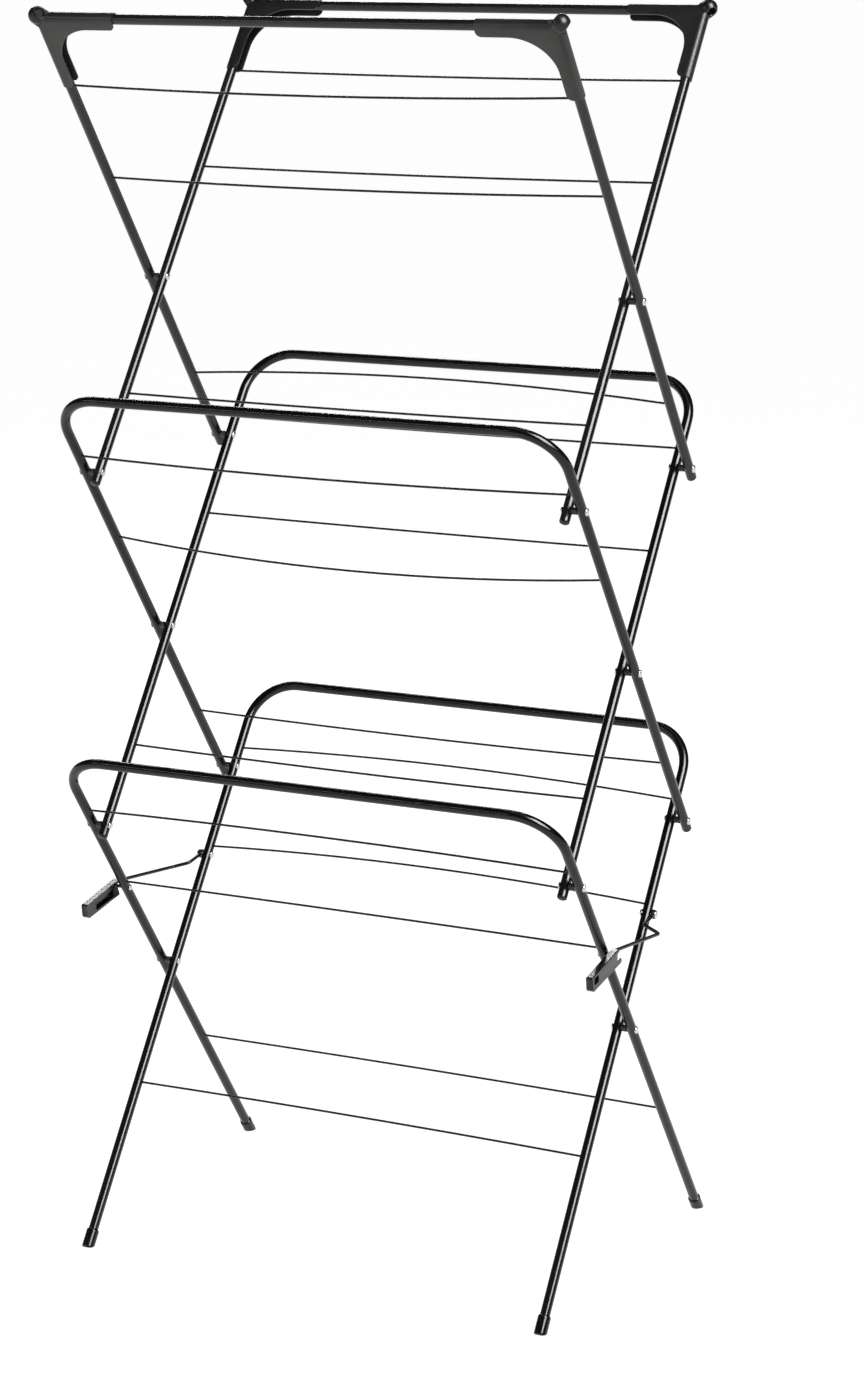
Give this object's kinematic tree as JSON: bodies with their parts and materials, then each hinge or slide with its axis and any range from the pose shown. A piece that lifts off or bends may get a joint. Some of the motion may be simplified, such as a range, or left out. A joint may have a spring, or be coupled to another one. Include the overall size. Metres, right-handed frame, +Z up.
{
  "type": "folding clothes airer",
  "caption": "Free-standing concertina clothes airer: bent tube frames on scissor pivots, with hanging wires, corner eyes and folding locking stays.",
  "frame": {"origin": "on the floor, under the middle of the open airer", "axes": "+Z up, +X along the hanging wires to the right, -Y towards the front feet of the inner frame"},
  "size_m": [0.6238, 0.4578, 1.3795],
  "materials": {
    "tube_paint": "semi-gloss black powder coat",
    "wire_paint": "semi-gloss black coat",
    "moulding": "satin black moulding, faintly grained",
    "cap_plastic": "smooth black plastic",
    "bright_steel": "bright zinc plate"
  },
  "bodies": {
    "lower_inner": {"lower_inner_frame": "tube_paint", "inner_feet": "cap_plastic", "lower_cross_rivets": "bright_steel", "lower_cross_bushes": "cap_plastic", "lower_rear_rivets": "bright_steel", "lower_rear_bushes": "cap_plastic", "stay_rivets": "bright_steel", "lower_inner_wire_low": "wire_paint", "lower_inner_wire_mid": "wire_paint", "lower_inner_wire_high": "wire_paint"},
    "lower_outer": {"lower_outer_frame": "tube_paint", "outer_feet": "cap_plastic", "lower_front_rivets": "bright_steel", "lower_front_bushes": "cap_plastic", "stay_studs": "bright_steel", "lower_outer_wire_low": "wire_paint", "lower_outer_wire_mid": "wire_paint", "lower_outer_wire_high": "wire_paint"},
    "middle_inner": {"middle_inner_frame": "tube_paint", "middle_inner_end_plugs": "cap_plastic", "middle_cross_rivets": "bright_steel", "middle_cross_bushes": "cap_plastic", "middle_rear_rivets": "bright_steel", "middle_rear_bushes": "cap_plastic", "middle_inner_wire_low": "wire_paint", "middle_inner_wire_mid": "wire_paint", "middle_inner_wire_high": "wire_paint"},
    "middle_outer": {"middle_outer_frame": "tube_paint", "middle_outer_end_plugs": "cap_plastic", "middle_front_rivets": "bright_steel", "middle_front_bushes": "cap_plastic", "middle_outer_wire_low": "wire_paint", "middle_outer_wire_mid": "wire_paint", "middle_outer_wire_high": "wire_paint"},
    "top_inner": {"top_inner_left_tube": "tube_paint", "top_inner_right_tube": "tube_paint", "top_inner_rail": "tube_paint", "inner_left_corner": "moulding", "inner_right_corner": "moulding", "top_inner_end_plugs": "cap_plastic", "top_cross_rivets": "bright_steel", "top_cross_bushes": "cap_plastic", "top_inner_wire_low": "wire_paint", "top_inner_wire_mid": "wire_paint", "top_inner_wire_high": "wire_paint"},
    "top_outer": {"top_outer_left_tube": "tube_paint", "top_outer_right_tube": "tube_paint", "top_outer_rail": "tube_paint", "outer_left_corner": "moulding", "outer_right_corner": "moulding", "top_outer_end_plugs": "cap_plastic", "top_outer_wire_low": "wire_paint", "top_outer_wire_mid": "wire_paint", "top_outer_wire_high": "wire_paint"},
    "left_stay_arm": {"left_stay": "wire_paint", "left_stay_handle": "moulding"},
    "right_stay_arm": {"right_stay": "wire_paint", "right_stay_handle": "moulding"}
  },
  "joints": [
    {"name": "fold", "type": "hinge", "parent": "lower_inner", "child": "lower_outer", "pos_m": [0, 0, 0.27715], "axis": [-1, 0, 0], "range_deg": [0, 51.1]},
    {"name": "middle_inner_turn", "type": "hinge", "parent": "lower_outer", "child": "middle_inner", "pos_m": [0, -0.14769, 0.47638], "axis": [1, 0, 0], "range_deg": [0, 51.1]},
    {"name": "middle_outer_turn", "type": "hinge", "parent": "middle_inner", "child": "middle_outer", "pos_m": [0, 0, 0.67561], "axis": [1, 0, 0], "range_deg": [-51.1, 0]},
    {"name": "top_inner_turn", "type": "hinge", "parent": "middle_outer", "child": "top_inner", "pos_m": [0, -0.14769, 0.87484], "axis": [1, 0, 0], "range_deg": [0, 51.1]},
    {"name": "top_outer_turn", "type": "hinge", "parent": "top_inner", "child": "top_outer", "pos_m": [0, 0, 1.07406], "axis": [1, 0, 0], "range_deg": [-51.1, 0]},
    {"name": "left_stay_turn", "type": "hinge", "parent": "lower_inner", "child": "left_stay_arm", "pos_m": [-0.2785, 0.0798, 0.3848], "axis": [1, 0, 0], "range_deg": [-42.92, 0]},
    {"name": "right_stay_turn", "type": "hinge", "parent": "lower_inner", "child": "right_stay_arm", "pos_m": [0.2785, 0.0798, 0.3848], "axis": [1, 0, 0], "range_deg": [-42.92, 0]}
  ],
  "couplings": [
    {"joint": "middle_inner_turn", "follows": "fold", "ratio": 1},
    {"joint": "middle_outer_turn", "follows": "fold", "ratio": -1},
    {"joint": "top_inner_turn", "follows": "fold", "ratio": 1},
    {"joint": "top_outer_turn", "follows": "fold", "ratio": -1},
    {"joint": "left_stay_turn", "follows": "fold", "ratio": -0.84},
    {"joint": "right_stay_turn", "follows": "fold", "ratio": -0.84}
  ]
}
